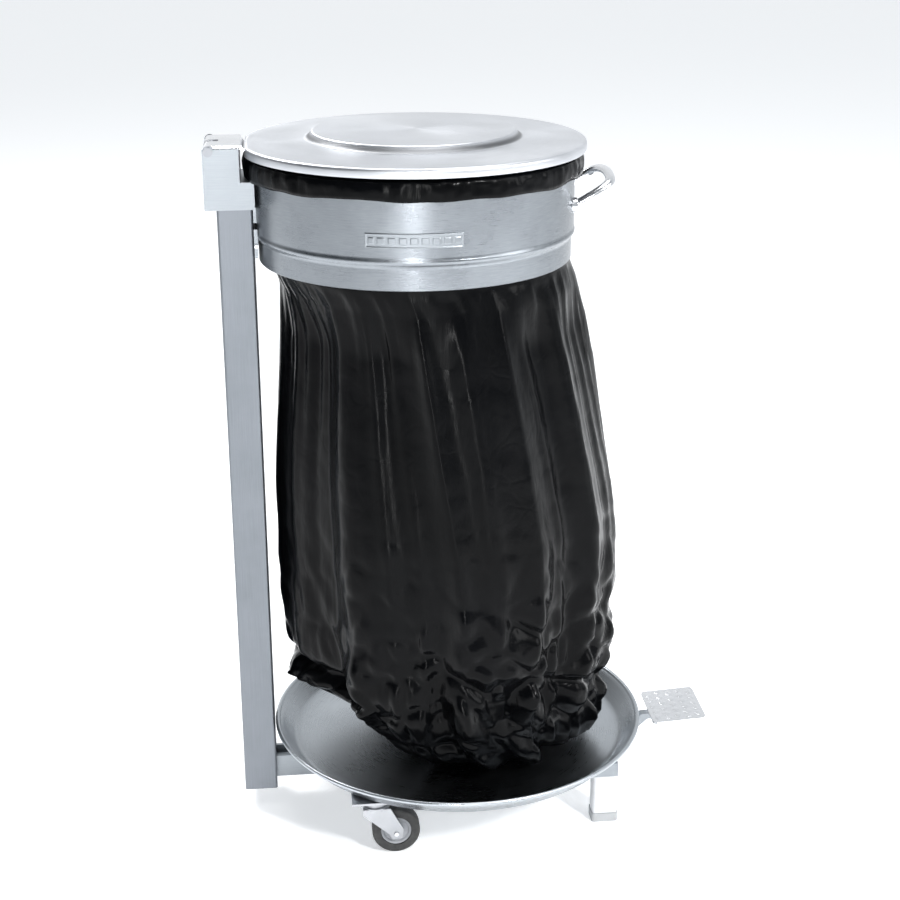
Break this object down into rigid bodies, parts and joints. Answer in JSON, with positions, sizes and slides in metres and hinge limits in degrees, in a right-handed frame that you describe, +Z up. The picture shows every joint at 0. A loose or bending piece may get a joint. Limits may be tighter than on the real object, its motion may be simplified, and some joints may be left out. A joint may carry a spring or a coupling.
{
  "type": "pedal waste sack holder",
  "caption": "Wheeled floor stand that holds a plastic waste sack open in a round collar over a dish tray, with a hinged lid lifted by a foot pedal.",
  "frame": {"origin": "on the floor under the centre of the whole stand", "axes": "+Z up, +X from the column towards the pedal, +Y to the left of someone facing +X"},
  "size_m": [0.6239, 0.481, 0.88],
  "materials": {
    "brushed_steel": "brushed",
    "lid_steel": "fine satin",
    "polished_steel": "bright satin",
    "pale_leg": "satin",
    "hardware_steel": "plain zinc",
    "sack_film": "glossy thin film",
    "tyre": "matt",
    "grey_plastic": "satin",
    "pad_rubber": "matt"
  },
  "bodies": {
    "stand": {"column": "brushed_steel", "column_foot_plug": "grey_plastic", "base_rail_left": "brushed_steel", "base_rail_right": "brushed_steel", "tray_crossbar_rear": "brushed_steel", "tray_crossbar_front": "brushed_steel", "front_leg_left": "pale_leg", "front_leg_right": "pale_leg", "foot_pad_left": "pad_rubber", "foot_pad_right": "pad_rubber", "tray": "brushed_steel", "tray_bolt_left": "brushed_steel", "tray_bolt_right": "brushed_steel", "collar": "brushed_steel", "sack_ring": "hardware_steel", "badge_plate": "polished_steel", "collar_bracket_lower": "brushed_steel", "collar_bracket_upper": "brushed_steel", "bracket_bolt_left": "brushed_steel", "bracket_bolt_right": "brushed_steel", "handle": "polished_steel", "handle_boss_left": "polished_steel", "handle_boss_right": "polished_steel", "waste_sack": "sack_film", "hinge_housing": "brushed_steel", "lid_hinge_pin": "hardware_steel", "rod_guide_lower": "grey_plastic", "rod_guide_upper": "grey_plastic", "pedal_pivot_pin": "hardware_steel", "caster_plate_left": "hardware_steel", "caster_plate_right": "hardware_steel", "caster_bearing_left": "hardware_steel", "caster_bearing_right": "hardware_steel"},
    "lid": {"lid": "lid_steel", "lid_arm": "brushed_steel", "lid_cam": "hardware_steel", "lid_spacer_left": "hardware_steel", "lid_spacer_right": "hardware_steel"},
    "push_rod": {"push_rod": "brushed_steel", "push_rod_head": "grey_plastic", "push_rod_foot": "grey_plastic"},
    "pedal": {"pedal_lever": "brushed_steel", "pedal_plate": "polished_steel", "pedal_lip": "polished_steel"},
    "caster_swivel_left": {"caster_fork_left": "hardware_steel", "caster_axle_left": "brushed_steel"},
    "caster_wheel_left": {"caster_tyre_left": "tyre", "caster_hub_left": "grey_plastic"},
    "caster_swivel_right": {"caster_fork_right": "hardware_steel", "caster_axle_right": "brushed_steel"},
    "caster_wheel_right": {"caster_tyre_right": "tyre", "caster_hub_right": "grey_plastic"}
  },
  "joints": [
    {"name": "lid_hinge", "type": "hinge", "parent": "stand", "child": "lid", "pos_m": [-0.305, 0, 0.865], "axis": [0, -1, 0], "range_deg": [0, 75]},
    {"name": "push_rod_slide", "type": "slide", "parent": "stand", "child": "push_rod", "axis": [0, 0, 1], "range_m": [0, 0.0237]},
    {"name": "pedal_pivot", "type": "hinge", "parent": "stand", "child": "pedal", "pos_m": [-0.045, 0, 0.05], "axis": [0, 1, 0], "range_deg": [0, 5.65]},
    {"name": "caster_swivel_joint_left", "type": "hinge", "parent": "stand", "child": "caster_swivel_left", "pos_m": [-0.135, 0.15, 0.065], "axis": [0, 0, 1], "continuous": true},
    {"name": "caster_wheel_spin_left", "type": "hinge", "parent": "caster_swivel_left", "child": "caster_wheel_left", "pos_m": [-0.11, 0.15, 0.03], "axis": [0, 1, 0], "continuous": true},
    {"name": "caster_swivel_joint_right", "type": "hinge", "parent": "stand", "child": "caster_swivel_right", "pos_m": [-0.135, -0.15, 0.065], "axis": [0, 0, 1], "continuous": true},
    {"name": "caster_wheel_spin_right", "type": "hinge", "parent": "caster_swivel_right", "child": "caster_wheel_right", "pos_m": [-0.11, -0.15, 0.03], "axis": [0, 1, 0], "continuous": true}
  ],
  "couplings": [
    {"joint": "push_rod_slide", "follows": "lid_hinge", "m_per_rad": 0.018},
    {"joint": "pedal_pivot", "follows": "lid_hinge", "ratio": 0.0744}
  ]
}
